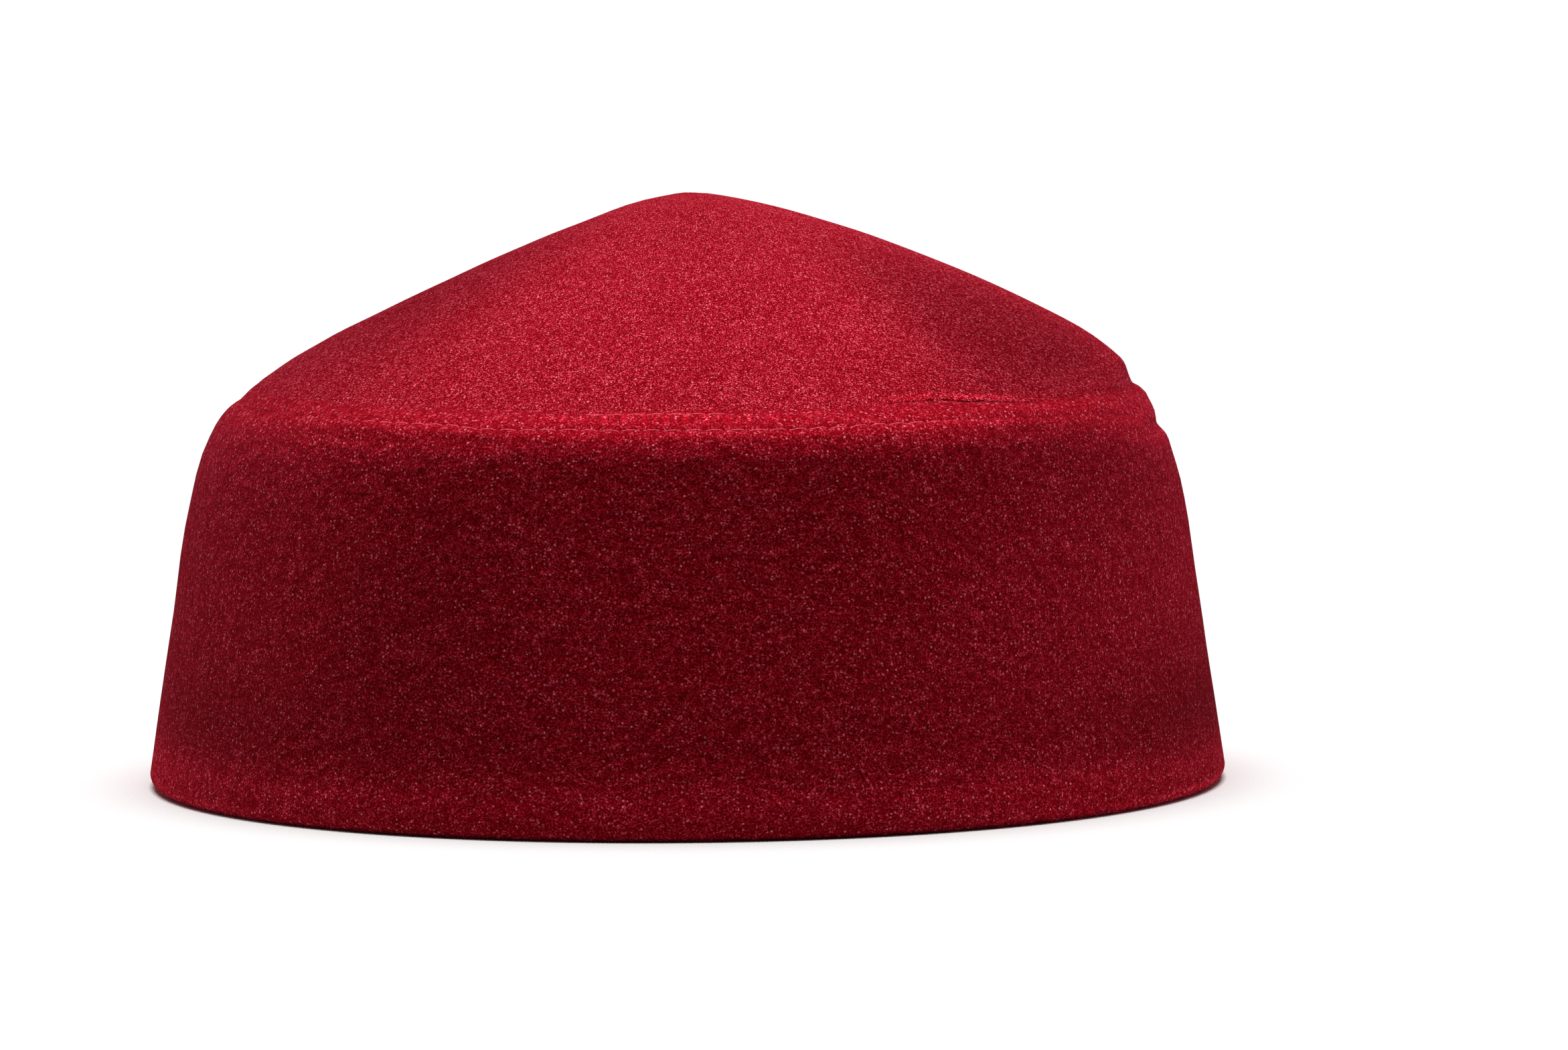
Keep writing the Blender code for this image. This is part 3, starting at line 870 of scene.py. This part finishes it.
def felt_material(felt):
    """Red felt with hairs, tufts, clumps, blotches and a few hair ends that glint.

    lightness = hair (hair share + tuft share x tuft) + clumps + blotches, through the reds, with
    the painted glints on top, and all of it times 1 + the painted light and shade of each point.
    """
    material, tree, shader = new_material(felt.name)
    place, brushed = brushed_place(tree)
    level = add_node(tree, "VectorMath", {0: place, 1: CLUMPS_FLAT}, operation="MULTIPLY").outputs[0]
    hair = ramp(tree, noise(tree, brushed, felt.fineness, 0.0), felt.low, felt.high)
    tuft = ramp(tree, noise(tree, brushed, TUFTS, 1.0), 0.33, 0.67)
    clump = ramp(tree, noise(tree, level, CLUMPS, 3.0), 0.3, 0.7)
    blotch = ramp(tree, noise(tree, place, BLOTCHES, 3.0), 0.3, 0.7)
    glint = times(tree, dots(tree, brushed, GLINTS, 0.35, 0.10), ramp(tree, hair, 0.1, 0.6))
    fine = times(tree, hair, added(tree, times(tree, tuft, felt.tuft), felt.hair))
    broad = added(tree, times(tree, clump, felt.clump), times(tree, blotch, felt.blotch))
    light = added(tree, fine, broad)
    colour = mixed(tree, glint, red_of(tree, light), PAINTED_GLINT_PINK)
    # the painted light and shade of each point, which scales the colour
    painted_light_shade = add_node(tree, "Attribute", {}, attribute_name="lightness").outputs["Fac"]
    colour_with_painted_light = add_node(tree, "VectorMath", {0: colour, "Scale": added(tree, painted_light_shade, 1.0)}, operation="SCALE")
    clumps_high, glints_high = times(tree, clump, CLUMP_HIGH), times(tree, glint, GLINT_HIGH)
    height = added(tree, times(tree, hair, HAIR_HIGH), tuft, clumps_high, glints_high)
    bump = add_node(tree, "Bump", {"Strength": 0.6, "Distance": FIBRE_HIGH, "Height": height})
    tree.links.new(colour_with_painted_light.outputs[0], shader.inputs["Base Color"])
    tree.links.new(ramp(tree, light, 0.0, 1.0, 0.97, 0.86), shader.inputs["Roughness"])
    tree.links.new(bump.outputs[0], shader.inputs["Normal"])
    cloth_finish(shader, 0.01, 0.07, 0.45, (1.0, 0.055, 0.17, 1.0))
    return material


for piece, felt in ((crown, CROWN_FELT), (band, BAND_FELT)):
    piece.data.materials.append(felt_material(felt))
    print(f"{felt.name}: hairs {1000 / felt.fineness:.2f} mm apart, tufts {1000 / TUFTS:.1f} mm")

# %% [markdown]
# ## The finish of the thread
#
# Sewing thread is spun: fine plies twist round each other, and they are smoother than felt, so the
# thread shines a little. The twist is a slanted stripe over the tube's own map, round and along.

# %% Thread material
TWIST_PLIES, TWIST_TURNS = 2.0, 4.0
THREAD_DARK, THREAD_LIGHT = (0.70, 0.045, 0.07, 1), (0.95, 0.12, 0.17, 1)
THREAD_FUZZ = 3000.0  # waves a metre
PLY_HIGH = 0.00005  # metres


def thread_material():
    """Bright red twisted thread: a ply is a sine of plies x round + turns x along."""
    material, tree, shader = new_material("stitching")
    own_map = add_node(tree, "UVMap", {}, uv_map="along_thread").outputs[0]
    around_along = add_node(tree, "SeparateXYZ", {0: own_map})
    plies = times(tree, around_along.outputs[0], TWIST_PLIES)
    turns = times(tree, around_along.outputs[1], TWIST_TURNS)
    phase = times(tree, added(tree, plies, turns), 2 * np.pi)
    ply = ramp(tree, math(tree, "SINE", phase), -1.0, 0.6)
    place = add_node(tree, "TexCoord", {}).outputs["Object"]
    fuzz = ramp(tree, noise(tree, place, THREAD_FUZZ, 1.0), 0.35, 0.65)
    lightness = added(tree, times(tree, ply, 0.7), times(tree, fuzz, 0.3))
    colour = mixed(tree, lightness, THREAD_DARK, THREAD_LIGHT)
    bump = add_node(tree, "Bump", {"Strength": 0.6, "Distance": PLY_HIGH, "Height": ply})
    tree.links.new(colour, shader.inputs["Base Color"])
    tree.links.new(ramp(tree, fuzz, 0.0, 1.0, 0.38, 0.55), shader.inputs["Roughness"])
    tree.links.new(bump.outputs[0], shader.inputs["Normal"])
    cloth_finish(shader, 0.04, 0.08, 0.5, (1.0, 0.1, 0.15, 1.0))
    return material


stitching = thread_material()
for row in (lower_stitches, upper_stitches):
    row.data.materials.append(stitching)

# %% [markdown]
# ## What carries what
#
# The cap has one body and no joints. The two felt pieces stand for the two CAD solids, and the
# stitches ride along.

# %% Riding and replacing
for piece, slot in ((crown, "crown_felt"), (band, "band_felt"), (lower_stitches, "stitching"),
                    (upper_stitches, "stitching")):
    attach(piece, "root")
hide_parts("crown_tip")
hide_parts("side_band")

# %% [markdown]
# ## Floor, light and camera
#
# The photograph is taken on a white ground, with its main light straight above and little light
# from the sides: the cone is bright and the side of the cap is dark. So a small disc of light hangs
# above, two faint wide ones stand far left and right, and all three fall on the cap alone. The floor
# is pale but throws little light back, and the camera stands low, a long way off.

# %% Floor
def pale_floor():
    """A wide pale plane at height 0. It throws less light back at the cap than the camera sees."""
    half = 12.0
    mesh = bpy.data.meshes.new("floor")
    corners = [(-half, -half, 0), (half, -half, 0), (half, half, 0), (-half, half, 0)]
    mesh.from_pydata(corners, [], [(0, 1, 2, 3)])
    floor = bpy.data.objects.new("floor", mesh)
    bpy.context.scene.collection.objects.link(floor)
    material, tree, shader = new_material("pale_floor")
    is_camera = add_node(tree, "LightPath", {}).outputs["Is Camera Ray"]
    paint = mixed(tree, is_camera, (0.3, 0.3, 0.3, 1), (0.95, 0.95, 0.95, 1))
    tree.links.new(paint, shader.inputs["Base Color"])
    shader.inputs["Roughness"].default_value = 1.0
    shader.inputs["Specular IOR Level"].default_value = 0.0
    mesh.materials.append(material)
    return floor


floor = pale_floor()


# %% Light
def only_on(light, pieces):
    """The light falls on these pieces alone."""
    lit = bpy.data.collections.new(light.name + "_falls_on")
    for piece in pieces:
        lit.objects.link(piece)
    light.light_linking.receiver_collection = lit


def new_light(name, kind, power, place, aim):
    """A light at a place, turned towards its aim."""
    data = bpy.data.lights.new(name, kind)
    data.energy = power
    light = bpy.data.objects.new(name, data)
    light.location = place
    light.rotation_mode = "QUATERNION"
    light.rotation_quaternion = (Vector(aim) - Vector(place)).to_track_quat("-Z", "Y")
    bpy.context.scene.collection.objects.link(light)
    return light


def disc_light(name, power, diameter, place, aim):
    """A round soft light that falls on the cap alone."""
    light = new_light(name, "AREA", power, place, aim)
    light.data.shape = "DISK"
    light.data.size = diameter
    only_on(light, CAP)
    return light


CAP = (crown, band, lower_stitches, upper_stitches)
disc_light("light_above", 1.78, 0.17, (0.0, -0.055, 0.42), (0.0, -0.03, 0.06))
disc_light("light_left", 4.0, 0.4, (-0.9, 0.42, 0.12), (0.0, 0.0, 0.05))
disc_light("light_right", 3.65, 0.4, (0.9, 0.22, 0.12), (0.0, 0.0, 0.05))
daylight = new_light("light_on_floor", "SUN", 3.1, (0, 0, 2), (0, 0, 0))
daylight.data.angle = np.radians(44)
only_on(daylight, [floor])


def studio_world(for_light, for_camera):
    """A dim even world as a light, and a pale one where the camera looks past the floor."""
    world = bpy.data.worlds.new("studio")
    world.use_nodes = True
    tree = world.node_tree
    tree.nodes.clear()
    dim = add_node(tree, "Background", {"Strength": for_light})
    pale = add_node(tree, "Background", {"Strength": for_camera})
    for light in (dim, pale):
        light.inputs["Color"].default_value = (1, 1, 1, 1)
    is_camera = add_node(tree, "LightPath", {}).outputs["Is Camera Ray"]
    both = add_node(tree, "MixShader", {0: is_camera, 1: dim.outputs[0], 2: pale.outputs[0]})
    add_node(tree, "OutputWorld", {"Surface": both.outputs[0]})
    bpy.context.scene.world = world


studio_world(0.085, 0.95)
bpy.context.scene.view_settings.view_transform = "Standard"
bpy.context.scene.cycles.use_denoising = False  # it would wipe out the fine hairs

# %% Camera
CAMERA_PLACE = Vector((0.0, -1.6, 0.183))
CAMERA_AIM = Vector((0.0174, 0.0, 0.045))
CAMERA_ROLL = 0.0083  # radians
FOCAL_LENGTH = 208.4  # mm, on a sensor 36 mm wide


def photo_camera():
    """The camera's axes: forward, then right and up from it, turned by the small roll."""
    forward = (CAMERA_AIM - CAMERA_PLACE).normalized()
    right = forward.cross(Vector((0, 0, 1))).normalized()
    up = right.cross(forward)
    x_axis = np.cos(CAMERA_ROLL) * right - np.sin(CAMERA_ROLL) * up
    y_axis = np.sin(CAMERA_ROLL) * right + np.cos(CAMERA_ROLL) * up
    data = bpy.data.cameras.new("photo_camera")
    data.lens = FOCAL_LENGTH
    data.sensor_width = 36.0
    data.clip_start, data.clip_end = 0.1, 60.0
    camera = bpy.data.objects.new("photo_camera", data)
    turn = Matrix((x_axis, y_axis, -forward)).transposed()
    camera.matrix_world = Matrix.Translation(CAMERA_PLACE) @ turn.to_4x4()
    bpy.context.scene.collection.objects.link(camera)
    bpy.context.scene.camera = camera


photo_camera()
